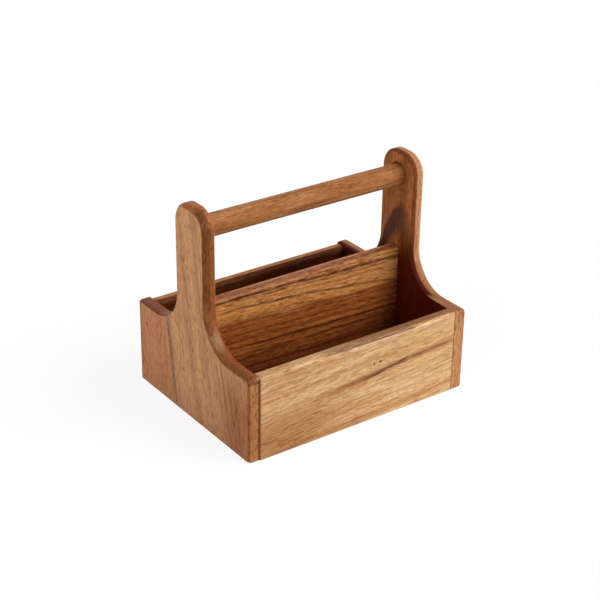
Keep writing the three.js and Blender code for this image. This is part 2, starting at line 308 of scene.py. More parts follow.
def settle(piece):
    """Turns what the modifiers give into the piece's own mesh, and removes them."""
    graph = bpy.context.evaluated_depsgraph_get()
    finished = piece.evaluated_get(graph)
    made = bpy.data.meshes.new_from_object(finished, preserve_all_data_layers=True, depsgraph=graph)
    before = piece.data
    piece.modifiers.clear()
    piece.data = made
    made.name = piece.name
    bpy.data.meshes.remove(before)
    if not made.polygons:
        raise RuntimeError(f"{piece.name} has no faces")


def add_tree(piece, tree, **values):
    """Puts a Geometry Nodes tree on a piece and sets its named inputs."""
    modifier = piece.modifiers.new(tree.name, "NODES")
    modifier.node_group = tree
    for item in tree.interface.items_tree:
        key = item.name.lower().replace(" ", "_")
        if item.item_type == "SOCKET" and item.in_out == "INPUT" and key in values:
            modifier[item.identifier] = values[key]


def cut(piece, cutter):
    """Takes the cutter away from the piece, and the cutter out of the scene."""
    modifier = piece.modifiers.new("holes", "BOOLEAN")
    modifier.operation = "DIFFERENCE"
    modifier.solver = "EXACT"
    modifier.object = cutter
    settle(piece)
    drop(cutter)


def smooth(piece):
    """Smooth shading that stays flat on the flat faces and sharp at the sawn edges."""
    mesh = piece.data
    mesh.shade_smooth()
    mesh.set_sharp_from_angle(angle=SHARP_ANGLE)
    modifier = piece.modifiers.new("flat faces", "WEIGHTED_NORMAL")
    modifier.keep_sharp = True
    settle(piece)


def dress(piece, material, slot, *nodes):
    """Gives a finished piece its wood, and puts it in the place of its CAD nodes."""
    piece.data.materials.clear()
    piece.data.materials.append(material)
    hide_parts(*nodes)
    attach(piece, BODY)


# Node trees


class Nodes:
    """Draws nodes into an empty tree, in the order of the calls."""

    def __init__(self, tree):
        self.tree = tree
        tree.nodes.clear()

    def node(self, kind, values=(), **settings):
        """Adds a node. Values are given by the label or the number of their socket."""
        made = self.tree.nodes.new(kind)
        for setting, value in settings.items():
            setattr(made, setting, value)
        for label, value in dict(values).items():
            self.feed(made.inputs[label], value)
        return made

    def flow(self, kind, values=(), **settings):
        """The first output of a new node."""
        return self.node(kind, values, **settings).outputs[0]

    def feed(self, socket, value):
        if isinstance(value, bpy.types.NodeSocket):
            self.tree.links.new(value, socket)
        elif socket.type == "RGBA" and len(value) == 3:
            socket.default_value = (*value, 1)
        else:
            socket.default_value = value

    def math(self, operation, *values):
        return self.flow("ShaderNodeMath", enumerate(values), operation=operation)

    def add(self, first, second):
        return self.math("ADD", first, second)

    def minus(self, first, second):
        return self.math("SUBTRACT", first, second)

    def times(self, *values):
        product = values[0]
        for value in values[1:]:
            product = self.math("MULTIPLY", product, value)
        return product

    def over(self, first, second):
        return self.math("DIVIDE", first, second)

    def vector(self, x, y=0.0, z=0.0):
        return self.flow("ShaderNodeCombineXYZ", {"X": x, "Y": y, "Z": z})


class ShapeTree(Nodes):
    """A Geometry Nodes tree. It takes in one geometry, its named sizes and the material."""

    def __init__(self, name, geometry, sizes):
        super().__init__(bpy.data.node_groups.new(name, "GeometryNodeTree"))
        sockets = self.tree.interface
        sockets.new_socket(geometry, in_out="INPUT", socket_type="NodeSocketGeometry")
        for label, default in sizes.items():
            kind = SOCKET_KINDS[type(default)]
            sockets.new_socket(label, in_out="INPUT", socket_type=kind).default_value = default
        sockets.new_socket("Material", in_out="INPUT", socket_type="NodeSocketMaterial")
        sockets.new_socket("Geometry", in_out="OUTPUT", socket_type="NodeSocketGeometry")
        self.given = self.tree.nodes.new("NodeGroupInput").outputs

    def at_places(self, shape):
        """The shape at each point of the geometry that the tree takes in."""
        return self.flow("GeometryNodeInstanceOnPoints", {"Points": self.given["Places"], "Instance": shape})

    def turned_rod(self, start, profile, least_lost):
        """A profile swept along X from its start, with both ends chamfered. Least lost is what is taken off
        its radius everywhere."""
        length, chamfer = self.given["Length"], self.given["Chamfer"]
        line_sizes = {"Start": start, "Direction": (1, 0, 0), "Length": length}
        line = self.flow("GeometryNodeCurvePrimitiveLine", line_sizes, mode="DIRECTION")
        steps = self.math("ROUND", self.over(length, chamfer))
        fine = self.flow("GeometryNodeResampleCurve", {"Curve": line, "Count": self.add(steps, 1)})
        along = self.node("GeometryNodeSplineParameter").outputs["Length"]
        from_end = self.math("MINIMUM", along, self.minus(length, along))
        lost = self.math("MAXIMUM", self.minus(chamfer, from_end), least_lost)
        share = self.minus(1, self.over(lost, self.given["Radius"]))
        parts = {"Curve": fine, "Profile Curve": profile, "Scale": share, "Fill Caps": True}
        return self.flow("GeometryNodeCurveToMesh", parts)

    def finish(self, geometry):
        realized = self.flow("GeometryNodeRealizeInstances", {"Geometry": geometry})
        values = {"Geometry": realized, "Material": self.given["Material"]}
        self.node("NodeGroupOutput", {"Geometry": self.flow("GeometryNodeSetMaterial", values)})
        return self.tree


def board_tree():
    """Sweeps a board's section, drawn on (y, z), along X from Start to End."""
    tree = ShapeTree("sawn board", "Section", {"Start": -0.1, "End": 0.1})
    profile = tree.flow("GeometryNodeMeshToCurve", {"Mesh": tree.given["Section"]})
    turned = tree.flow("GeometryNodeTransform", {"Geometry": profile, "Rotation": (0, 0, pi)})
    ends = {end: tree.vector(tree.given[end]) for end in ("Start", "End")}
    path = tree.flow("GeometryNodeCurvePrimitiveLine", ends)
    parts = {"Curve": path, "Profile Curve": turned, "Fill Caps": True}
    return tree.finish(tree.flow("GeometryNodeCurveToMesh", parts))


def drill_tree():
    """A drill along X at each given point."""
    tree = ShapeTree("drilled holes", "Places", {"Radius": 0.003, "Depth": 0.01, "Sides": 24})
    given = tree.given
    sizes = {"Vertices": given["Sides"], "Radius": given["Radius"], "Depth": given["Depth"]}
    drill = tree.flow("GeometryNodeMeshCylinder", sizes)
    laid = tree.flow("GeometryNodeTransform", {"Geometry": drill, "Rotation": (0, QUARTER, 0)})
    return tree.finish(tree.at_places(laid))


def pin_tree():
    """A fluted and chamfered dowel pin along X at each given point."""
    sizes = {"Radius": 0.003, "Length": 0.025, "Chamfer": 0.00075, "Flutes": 18, "Flute Depth": 0.0002}
    tree = ShapeTree("dowel pins", "Places", sizes)
    given = tree.given
    star = tree.flow("GeometryNodeCurveStar", {
        "Points": given["Flutes"],
        "Inner Radius": tree.minus(given["Radius"], given["Flute Depth"]),
        "Outer Radius": given["Radius"],
    })
    start = tree.vector(tree.times(given["Length"], -0.5))
    return tree.finish(tree.at_places(tree.turned_rod(start, star, 0)))


def rail_tree():
    """A rod turned along X, with chamfered ends and the slight unevenness of hand sanding."""
    tree = ShapeTree("turned rail", "Geometry", {
        "Start": (-0.1, 0, 0),
        "Length": 0.2,
        "Radius": 0.011,
        "Chamfer": 0.001,
        "Wobble": 0.00006,
        "Sides": 72,
    })
    given = tree.given
    marks = tree.flow("ShaderNodeTexNoise", {"Scale": TURNING_MARKS, "Detail": 2.0})
    uneven = tree.times(marks, given["Wobble"])
    sizes = {"Resolution": given["Sides"], "Radius": given["Radius"]}
    circle = tree.flow("GeometryNodeCurvePrimitiveCircle", sizes)
    return tree.finish(tree.turned_rod(given["Start"], circle, uneven))


# Joints: where the pins and the rail sit, read from the frame


def node_centre(name):
    low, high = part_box(name)
    return (low + high) / 2


def node_size(name):
    low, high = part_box(name)
    return high - low


def pin_names():
    return sorted(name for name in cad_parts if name.startswith("pin_"))


def joint_cutter():
    """The holes of all the pins, each a little wider and longer than its pin."""
    names = pin_names()
    places = [node_centre(name) for name in names]
    size = node_size(names[0])
    cutter = new_piece("pin holes", mesh_from("pin holes", places))
    radius = size.y / 2 + PIN_PLAY
    add_tree(cutter, drill_tree(), radius=radius, depth=size.x + 2 * PIN_END_GAP, sides=PIN_HOLE_SIDES)
    settle(cutter)
    return cutter


# End panels


def rounding_step(inset, depth, share):
    """How far a step of a rounding lies in from the edge, and how deep below the face. The arc runs into the
    edge smoothly, and meets the face in an arris where its depth is more than its inset. Share 0 is the face,
    1 the edge."""
    if inset == 0:
        return 0.0, 0.0
    radius = (depth**2 + inset**2) / (2 * inset)
    start = asin((radius - inset) / radius)
    angle = start + (QUARTER - start) * share
    return radius * (1 - sin(angle)), depth - radius * cos(angle)


def top_rounding(settings, face, weight):
    """Inset and depth of the rounding round neck, coves and shoulders, then what it takes off the height and
    the radius of the crown. The crown is rounded more evenly than the rest."""
    crown = settings.crown_radius
    if face == "outer":
        crown_weight = 1 - CROWN_SHARE * (1 - weight)
        lost_crown = [length * crown_weight for length in (settings.outer_drop, crown - settings.outer_crown)]
        return [settings.outer_inset * weight, settings.outer_depth * weight, *lost_crown]
    return settings.inner_inset, settings.inner_depth, settings.inner_drop, crown - settings.inner_crown


def half_sizes(settings, side, end):
    """Shoulder height, share of the outer rounding above and on the post, and foot corner of the front or the
    back half of a panel."""
    shoulder = getattr(settings, f"{end}_{side}_shoulder")
    light = settings.light_hand
    if side == "right":
        return shoulder, light, light, settings.foot_corner * light
    return shoulder, 1.0 if end == "front" else light, 1.0, settings.foot_corner


def foot_ring(settings, half, face, share, weight, corner):
    """The lower corner of a ring as (depth, y, z). The boards meet the inner face square, so the post and the
    foot are rounded only outside."""
    steps = ARC_STEPS["foot"]
    if face == "inner":
        return [(0.0, y, z) for y, z in arc(half - corner, corner, corner, -QUARTER, 0, steps)]
    lost = settings.post_round * weight
    low_inset, low_sunk = rounding_step(lost, settings.foot_depth * weight, share)
    inset, sunk = rounding_step(lost, settings.post_depth * weight, share)
    points = []
    for step in range(steps + 1):
        turned = step / steps
        off = low_inset + (inset - low_inset) * turned
        y, z = arc(half - corner, corner, corner - off, -QUARTER * (1 - turned), 0, 1)[0]
        points.append((low_sunk + (sunk - low_sunk) * turned, y, z))
    return points


def half_ring(settings, box, face, share, sizes):
    """Half of one ring of points round the panel, from the foot up to the crown."""
    low, high = box
    shoulder, weight, post_weight, foot = sizes
    half = (high.y - low.y) / 2
    thickness = high.x - low.x
    top_inset, top_depth, drop, crown_loss = top_rounding(settings, face, weight)
    inset, sunk = rounding_step(top_inset, top_depth, share)
    near_face = inset / top_inset
    tip = max(settings.shoulder_corner, inset)
    neck = settings.neck_width / 2
    cove = settings.cove_radius
    crown = settings.crown_radius - near_face * crown_loss
    crown_z = high.z - near_face * drop - crown
    post = foot_ring(settings, half, face, share, post_weight, foot)
    post_top = shoulder - max(settings.shoulder_corner, top_inset) - settings.runout
    post.append((post[-1][0], post[-1][1], post_top))
    top = arc(half - tip, shoulder - tip, tip - inset, 0, QUARTER, ARC_STEPS["tip"])
    top += arc(neck + cove, shoulder + cove, cove + inset, -QUARTER, -2 * QUARTER, ARC_STEPS["cove"])
    top += arc(neck - inset - crown, crown_z, crown, 0, QUARTER, ARC_STEPS["crown"])
    points = []
    for depth, y, z in post + [(sunk, y, z) for y, z in top]:
        points.append(Vector((depth if face == "outer" else thickness - depth, y, z)))
    return points


def panel_ring(settings, box, side, face, share):
    """One closed ring. The front edge of the left panel is rounded more than the others."""
    back = half_ring(settings, box, face, share, half_sizes(settings, side, "back"))
    front = half_ring(settings, box, face, share, half_sizes(settings, side, "front"))
    return back + [Vector((point.x, -point.y, point.z)) for point in reversed(front)]


def panel_mesh(name, settings, box, side):
    """The panel's plate, lofted from ring to ring and closed by its two faces."""
    steps = settings.round_steps
    shares = [step / steps for step in range(steps + 1)]
    rings = [panel_ring(settings, box, side, "outer", share) for share in shares]
    rings += [panel_ring(settings, box, side, "inner", share) for share in reversed(shares)]
    count = len(rings[0])
    faces = []
    for ring in range(len(rings) - 1):
        for i in range(count):
            a = ring * count + i
            b = ring * count + (i + 1) % count
            faces.append((a, b, b + count, a + count))
    last = (len(rings) - 1) * count
    faces.append(tuple(reversed(range(count))))
    faces.append(tuple(range(last, last + count)))
    mesh = mesh_from(name, [point for ring in rings for point in ring], faces=faces)
    place = Matrix.Translation((box[0].x, 0, 0))
    if side == "right":
        place = Matrix.Translation((box[1].x, 0, 0)) @ Matrix.Scale(-1, 4, (1, 0, 0))
    mesh.transform(place)
    weld(mesh)
    return mesh


def weld(mesh):
    """Merges doubled points and drops the faces that had no area."""
    shell = bmesh.new()
    shell.from_mesh(mesh)
    bmesh.ops.remove_doubles(shell, verts=shell.verts, dist=WELD_DISTANCE)
    bmesh.ops.dissolve_degenerate(shell, edges=shell.edges, dist=WELD_DISTANCE)
    bmesh.ops.recalc_face_normals(shell, faces=shell.faces)
    shell.to_mesh(mesh)
    shell.free()
    mesh.update()


def socket_cutter(rail_settings, box):
    """The blind socket that takes one end of the rail."""
    low, high = box
    rail = node_centre("handle_rail")
    radius = node_size("handle_rail").z / 2 + rail_settings.play
    inwards = 1 if rail.x > high.x else -1
    outer_face, inner_face = (low.x, high.x) if inwards > 0 else (high.x, low.x)
    wall_face = outer_face + inwards * rail_settings.socket_wall
    past = inner_face + inwards * CUT_OVERRUN
    place = Vector(((wall_face + past) / 2, rail.y, rail.z + rail_settings.sag))
    cutter = new_piece("rail socket", mesh_from("rail socket", [place]))
    add_tree(cutter, drill_tree(), radius=radius, depth=abs(past - wall_face), sides=SOCKET_SIDES)
    settle(cutter)
    return cutter


def groove_cutter(board_settings):
    """The floor panel with its play, which leaves its groove in whatever it is taken from."""
    low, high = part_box("base_panel")
    play = Vector((board_settings.groove_play,) * 3)
    mesh = bpy.data.meshes.new("floor groove")
    shell = bmesh.new()
    bmesh.ops.create_cube(shell, size=1)
    size = high - low + 2 * play
    bmesh.ops.scale(shell, vec=size, verts=shell.verts)
    bmesh.ops.translate(shell, vec=(low + high) / 2, verts=shell.verts)
    shell.to_mesh(mesh)
    shell.free()
    return new_piece("floor groove", mesh)


class CADDY_OT_end_panels(bpy.types.Operator):
    """Makes both end panels with their rounded edges, sockets, grooves and pin holes"""

    bl_idname = "caddy.end_panels"
    bl_label = "End panels"

    def execute(self, context):
        scene = context.scene
        woods = {"left": left_panel_wood(scene.caddy_panel), "right": right_panel_wood(scene.caddy_panel)}
        for side in SIDES:
            node = f"end_panel_{side}"
            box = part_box(node)
            piece = new_piece(f"{side}_end_panel", panel_mesh(node, scene.caddy_panel, box, side))
            cut(piece, socket_cutter(scene.caddy_rail, box))
            cut(piece, groove_cutter(scene.caddy_board))
            cut(piece, joint_cutter())
            smooth(piece)
            dress(piece, woods[side], "end_panel_wood", node)
        return {"FINISHED"}


# Boards


def board_section(settings, box, grooved_side):
    """Outline of a board on (y, z). A side board has a rounded foot outside, across from its grooved side."""
    low, high = box
    top = min(settings.top_round, (high.y - low.y) / 2)
    foot = settings.foot_round
    low_foot = [(low.y, low.z)]
    high_foot = [(high.y, low.z)]
    if grooved_side == "high":
        low_foot = arc(low.y + foot, low.z + foot, foot, -2 * QUARTER, -QUARTER, SECTION_STEPS)
    if grooved_side == "low":
        high_foot = arc(high.y - foot, low.z + foot, foot, -QUARTER, 0, SECTION_STEPS)
    high_top = arc(high.y - top, high.z - top, top, 0, QUARTER, SECTION_STEPS)
    low_top = arc(low.y + top, high.z - top, top, QUARTER, 2 * QUARTER, SECTION_STEPS)
    return low_foot + high_foot + high_top + low_top


def make_board(node, name, settings, grooved_side):
    """Saws a board to its section, eases its ends, and cuts its groove and its pin holes."""
    low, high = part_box(node)
    outline = board_section(settings, (low, high), grooved_side)
    count = len(outline)
    edges = [(i, (i + 1) % count) for i in range(count)]
    section = mesh_from(name, [(y, z, 0) for y, z in outline], edges=edges)
    piece = new_piece(name, section)
    add_tree(piece, board_tree(), start=low.x, end=high.x)
    bevel = piece.modifiers.new("eased ends", "BEVEL")
    bevel.width = settings.end_ease
    bevel.segments = 2
    bevel.limit_method = "ANGLE"
    bevel.angle_limit = BEVEL_ANGLE
    settle(piece)
    if grooved_side:
        cut(piece, groove_cutter(settings))
    cut(piece, joint_cutter())
    smooth(piece)
    return piece


class CADDY_OT_side_boards(bpy.types.Operator):
    """Makes the front and the back board"""

    bl_idname = "caddy.side_boards"
    bl_label = "Side boards"

    def execute(self, context):
        settings = context.scene.caddy_board
        front = make_board("front_board", "front_side_board", settings, "high")
        dress(front, front_board_wood(settings), "board_wood", "front_board")
        back = make_board("back_board", "back_side_board", settings, "low")
        dress(back, back_board_wood(), "board_wood", "back_board")
        return {"FINISHED"}


class CADDY_OT_divider(bpy.types.Operator):
    """Makes the tall divider between the two compartments"""

    bl_idname = "caddy.divider"
    bl_label = "Divider"

    def execute(self, context):
        settings = context.scene.caddy_board
        divider = make_board("divider_board", "centre_divider", settings, None)
        dress(divider, divider_wood(settings), "divider_wood", "divider_board")
        return {"FINISHED"}


class CADDY_OT_floor_panel(bpy.types.Operator):
    """Gives the floor panel of the compartments its wood"""

    bl_idname = "caddy.floor_panel"
    bl_label = "Floor panel"

    def execute(self, context):
        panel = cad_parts["base_panel"]
        panel.data.materials.clear()
        panel.data.materials.append(floor_panel_wood())
        return {"FINISHED"}


# Rail and pins


class CADDY_OT_rail(bpy.types.Operator):
    """Makes the round carrying rail"""

    bl_idname = "caddy.rail"
    bl_label = "Carrying rail"

    def execute(self, context):
        settings = context.scene.caddy_rail
        low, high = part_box("handle_rail")
        centre = node_centre("handle_rail")
        rail = new_piece("carrying_rail", mesh_from("carrying_rail", [centre]))
        add_tree(
            rail,
            rail_tree(),
            start=(low.x, centre.y, centre.z),
            length=high.x - low.x,
            radius=(high.z - low.z) / 2,
            chamfer=settings.chamfer,
            wobble=settings.wobble,
            sides=settings.sides,
        )
        settle(rail)
        smooth(rail)
        dress(rail, rail_wood(settings), "rail_wood", "handle_rail")
        return {"FINISHED"}


class CADDY_OT_pins(bpy.types.Operator):
    """Makes the fluted dowel pins that hold the boards to the end panels"""

    bl_idname = "caddy.pins"
    bl_label = "Dowel pins"

    def execute(self, context):
        settings = context.scene.caddy_rail
        names = pin_names()
        size = node_size(names[0])
        pins = new_piece("dowel_pins", mesh_from("dowel_pins", [node_centre(name) for name in names]))
        add_tree(
            pins,
            pin_tree(),
            radius=size.y / 2,
            length=size.x,
            flutes=settings.flutes,
            flute_depth=settings.flute_depth,
        )
        settle(pins)
        smooth(pins)
        dress(pins, pin_wood(settings), "pin_wood", *names)
        return {"FINISHED"}


# Wood

# A streak is a stripe in the wood, in millimetres. Its middle lies at
# height + slope * along + bend * along**2, it is twice half_width wide, and it runs from start to end.
Streak = namedtuple("Streak", "height slope half_width start end fade colour strength bend", defaults=(0.0,))

# How a board was sawn and grown. Slope is how much its grain climbs. Pith is the centre of the growth rings,
# seen from the board's end. Vessel is the size of an open vessel along and across the grain, and pores is how
# dark the vessels are, from 0 to 1.
Growth = namedtuple("Growth", "slope pith ring_gap ring_strength wander fibre pores vessel seed")


class Wood(Nodes):
    """Draws the wood of one piece: coordinates that follow its grain, and layers of colour laid along them.
    Colours are given as they look on the piece under its light, a share of full light for each channel. Where
    masks are asked for, (value, low, high) is the mask that rises from 0 at low to 1 at high."""

    def __init__(self, name, light, growth):
        self.material = bpy.data.materials.new(name)
        self.material.use_nodes = True
        super().__init__(self.material.node_tree)
        self.light = light
        self.growth = growth
        place = self.node("ShaderNodeTexCoord").outputs["Object"]
        millimetres = self.flow("ShaderNodeMapping", {"Vector": place, "Scale": (1 / MM, 1 / MM, 1 / MM)})
        self.places = self.node("ShaderNodeSeparateXYZ", {"Vector": millimetres}).outputs

    def size_of(self, value):
        return self.math("ABSOLUTE", value)

    def larger(self, first, second):
        return self.math("MAXIMUM", first, second)

    def rise(self, value, low, high, start=0.0, end=1.0):
        """Goes smoothly from start to end as the value goes from low to high."""
        limits = {"Value": value, "From Min": low, "From Max": high, "To Min": start, "To Max": end}
        return self.flow("ShaderNodeMapRange", limits, interpolation_type="SMOOTHSTEP")

    def mask(self, *parts):
        """The product of masks."""
        return self.times(*(self.rise(*part) if isinstance(part, tuple) else part for part in parts))

    def within(self, value, low, high, fade):
        """1 between low and high, falling to 0 over the fade outside them."""
        return self.mask((value, low - fade, low), (value, high + fade, high))

    def distance(self, across, up, place):
        """How far (across, up) is from a place."""
        first = self.minus(across, place[0])
        second = self.minus(up, place[1])
        return self.math("SQRT", self.add(self.times(first, first), self.times(second, second)))

    def spot(self, across, up, place, size):
        """A round mark at a place, 1 in its middle."""
        return self.rise(self.distance(across, up, place), size, 0.4 * size)

    def noise(self, place, detail=2.0, roughness=0.5):
        values = {"Vector": place, "Scale": 1.0, "Detail": detail, "Roughness": roughness}
        return self.flow("ShaderNodeTexNoise", values)

    def sway(self, place, reach):
        """Drifts to both sides of 0, by about a quarter of the reach."""
        return self.times(self.minus(self.noise(place), 0.5), reach)

    def tone(self, colour):
        """The wood's own colour, from a screen colour's digits or a linear colour."""
        seen = paint(colour) if isinstance(colour, str) else colour
        return tuple(min(part / share, 1.0) for part, share in zip(seen, self.light))

    def blend(self, name, share, first, second, mode="MIX"):
        values = {0: share, 6: first, 7: second}
        return self.node("ShaderNodeMix", values, data_type="RGBA", blend_type=mode, label=name).outputs[2]

    def lay(self, name, seen, strength, *masks):
        """Lays a colour over the wood, by its strength and where the masks let it."""
        self.colour = self.blend(name, self.mask(*masks, strength), self.colour, self.tone(seen))

    def shade(self, name, factor):
        """Darkens the wood towards red brown, or lightens it towards yellow."""
        half_way = self.times(self.add(factor, 1.0), 0.5)
        depth = self.vector(factor, self.times(factor, half_way), self.times(factor, factor))
        self.colour = self.blend(name, 1.0, self.colour, depth, mode="MULTIPLY")

    def saw(self, along, across, depth):
        """Lays the grain: coordinates along it, across it and into the piece, bent as the grain wanders."""
        self.along = along
        self.depth = depth
        straight = self.minus(across, self.times(along, self.growth.slope))
        self.bent = straight
        for (long, wide), reach in WANDERS:
            start = self.add(self.over(along, long), self.growth.seed)
            place = self.vector(start, self.over(straight, wide), self.over(depth, wide))
            self.bent = self.add(self.bent, self.sway(place, reach * self.growth.wander))

    def spread(self, size, shift=0.0):
        """A place for a texture, stretched to a size along and across the grain. The shift keeps the patterns
        of one wood apart."""
        long, wide = size
        start = self.growth.seed + shift
        along = self.add(self.over(self.along, long), start)
        across = self.add(self.over(self.bent, wide), start)
        return self.vector(along, across, self.over(self.depth, wide))

    def patches(self, size, shift=0.0, edge=0.14):
        """Soft patches, from 0 to 1."""
        return self.rise(self.noise(self.spread(size, shift), detail=3.0), 0.5 - edge, 0.5 + edge)

    def rings(self):
        """Irregular growth rings round the pith, from 0 to 1."""
        radius = self.distance(self.bent, self.depth, self.growth.pith)
        turn = self.over(radius, self.growth.ring_gap)
        values = {"W": turn, "Scale": 1.0, "Detail": 4.0, "Roughness": 0.65}
        return self.rise(self.flow("ShaderNodeTexNoise", values, noise_dimensions="1D"), *RING_EDGES)

    def vessels(self, long, wide, rare, shift):
        """Short dark vessels cut open by the saw, from 0 to 1, crowded in some bands and rare in others. Long
        and wide are shares of the wood's largest vessel."""
        size = (long * self.growth.vessel[0], wide * self.growth.vessel[1])
        crowd = self.sway(self.spread(VESSEL_CROWDS, shift + 2.0), 0.3)
        cut_open = self.add(self.noise(self.spread(size, shift), detail=1.0), crowd)
        return self.rise(cut_open, rare, rare + VESSEL_FADE)

    def start(self, light, middle, dark):
        """Tones that drift along the board, and darker late wood."""
        drift = self.patches(TONE_DRIFT)
        self.colour = self.blend("drifting tones", drift, self.tone(light), self.tone(middle))
        self.lay("late wood", dark, self.growth.ring_strength, self.rings())

    def lay_streaks(self, *streaks):
        """Stripes that follow the grain, a little broken up."""
        broken = self.rise(self.noise(self.spread(STREAK_BREAKS, 7.0), detail=3.0), *BREAK_EDGES, 0.4, 1.0)
        for streak in streaks:
            bend = self.times(self.along, self.along, streak.bend)
            line = self.add(streak.height, self.add(self.times(self.along, streak.slope), bend))
            body = (self.size_of(self.minus(self.bent, line)), streak.half_width, 0.1 * streak.half_width)
            begin = (self.along, streak.start, streak.start + streak.fade)
            stop = (self.along, streak.end, streak.end - streak.fade)
            self.lay("streak", streak.colour, streak.strength, body, begin, stop, broken)

    def finish(self, roughness=0.42, bump=0.3, gloss=0.2):
        """Fibres and open vessels over the painted tones, then the oiled surface."""
        broad = self.noise(self.spread(BROAD_FIBRE, 3.0), detail=4.0, roughness=0.7)
        fine = self.noise(self.spread(FINE_FIBRE, 5.0))
        fibre = self.times(self.add(broad, fine), 0.5)
        self.shade("fibres", self.rise(fibre, *FIBRE_EDGES, 1 - self.growth.fibre, 1 + self.growth.fibre))
        large = self.vessels(long=1.0, wide=1.0, rare=0.53, shift=11.0)
        small = self.vessels(long=0.5, wide=0.6, rare=0.55, shift=17.0)
        marks = self.larger(large, self.times(small, 0.7))
        self.shade("open vessels", self.minus(1.0, self.times(marks, self.growth.pores)))
        oiled = self.rise(fibre, *GLOSS_EDGES, roughness + 0.05, roughness - 0.05)
        height = self.minus(fibre, self.times(marks, VESSEL_DEPTH))
        relief = self.flow("ShaderNodeBump", {"Strength": bump, "Distance": RELIEF, "Height": height})
        surface = self.flow("ShaderNodeBsdfPrincipled", {
            "Base Color": self.colour,
            "Roughness": self.add(oiled, self.times(marks, VESSEL_ROUGHNESS)),
            "Specular IOR Level": gloss,
            "Normal": relief,
        })
        self.node("ShaderNodeOutputMaterial", {"Surface": surface})
        return self.material


def front_board_wood(settings):
    """Golden, with one slanting brown streak, painted shade on its top edge, a painted highlight along its
    front arris, painted shade in the joints at its ends and two small pin knots.
    """
    wood = Wood("front board wood", FRONT_LIGHT, Growth(
        slope=0.06, pith=(-140.0, 60.0), ring_gap=5.0, ring_strength=0.35, wander=1.3, fibre=0.15, pores=0.34,
        vessel=(11.0, 0.95), seed=3.1))
    x, y, z = wood.places
    wood.saw(along=x, across=z, depth=y)
    wood.start(settings.light, settings.middle, settings.dark)
    wood.lay("low left", "A87644", 0.85, (x, 30, -80), (z, 64, 24))
    wood.lay("high left", "C89A72", 0.5, (x, 20, -100), (z, 45, 78))
    wood.lay("right", "E0B682", 0.5, (x, 20, 110))
    wood.lay_streaks(
        Streak(48.9, 0.032, 6.5, -75, 135, 45, "AE7444", 0.75, bend=-0.0001),
        Streak(48.9, 0.032, 3.4, -50, 130, 35, "8E5032", 0.9, bend=-0.0001),
        Streak(46.2, 0.108, 2.3, -2, 64, 16, "5C342C", 1.0),
        Streak(51.0, 0.045, 1.0, 40, 125, 25, "8C5236", 0.6),
        Streak(7.2, -0.015, 2.6, -125, 135, 40, "AA6E3E", 0.6),
        Streak(7.4, -0.02, 1.3, -40, 20, 16, "84502C", 0.7),
        Streak(24.6, -0.02, 1.0, -135, -78, 18, "96603A", 0.6),
        Streak(44.2, -0.006, 1.0, -135, -62, 22, "9A643E", 0.55),
        Streak(33.0, 0.0, 2.4, -135, 20, 60, "B88250", 0.5),
        Streak(66.0, 0.0, 2.0, -135, 10, 50, "B4845A", 0.5),
        Streak(80.0, -0.03, 1.5, -125, 0, 40, "A8744A", 0.5),
    )
    behind_face = wood.add(y, HALF_DEPTH)
    # Painted shade on the top edge: darker than the front face, as where less light falls from above.
    wood.lay("top edge", "8C5C38", 0.92, (z, 82.4, 85.2), (behind_face, 1.25, 3.45), (x, -66, 40))
    # Painted highlight along the front arris, where its rounding catches the light.
    arris = wood.within(z, 82.8, 84.8, 1.0)
    wood.lay("painted arris highlight", "F2C89E", 0.75, arris, (behind_face, 3.05, 1.65), (x, -90, 0))
    wood.lay_streaks(
        Streak(86.2, -0.06, 1.8, -50, 75, 18, "5A302A", 0.9),
        Streak(83.5, -0.06, 0.9, -20, 110, 25, "84543A", 0.6),
    )
    # Dark line in the joints with the end panels: dirt, and painted shade in the gap.
    wood.lay("shaded joint", "6A4228", 0.6, (wood.size_of(x), INNER_FACE - 1.1, INNER_FACE - 0.2))
    for place, seen in (((15.8, 60.8), "6A3626"), ((23.2, 61.6), "2E1810")):
        wood.lay("pin knot", seen, 1.0, wood.spot(x, z, place, 1.7))
    return wood.finish()


def back_board_wood():
    """Reddish brown and plainly striped, with painted shade on the inside, deeper towards the right."""
    wood = Wood("back board wood", BACK_LIGHT, Growth(
        slope=0.02, pith=(150.0, 20.0), ring_gap=5.0, ring_strength=0.4, wander=1.6, fibre=0.16, pores=0.42,
        vessel=(11.0, 1.4), seed=8.4))
    x, y, z = wood.places
    wood.saw(along=x, across=z, depth=y)
    wood.start("A86C40", "8E5830", "54301C")
    wood.lay_streaks(
        Streak(83.0, -0.01, 1.4, -130, 130, 30, "5E3422", 0.7),
        Streak(58.0, 0.02, 2.4, -130, 130, 30, "5E3420", 0.5),
        Streak(30.0, -0.03, 3.2, -130, 130, 30, "6A3C22", 0.45),
    )
    wood.lay("top edge", "D0945C", 0.85, (z, 82.5, 84.0))
    # Painted shade inside the compartment, on the inner face and its rounding, deeper towards the right.
    inside = wood.rise(y, 88.4, 86.4)
    wood.lay("inside", "5A2A10", 0.85, inside)
    wood.lay("inside, right", "3C1604", 0.6, inside, (x, -100, 40))
    return wood.finish(gloss=0.05)


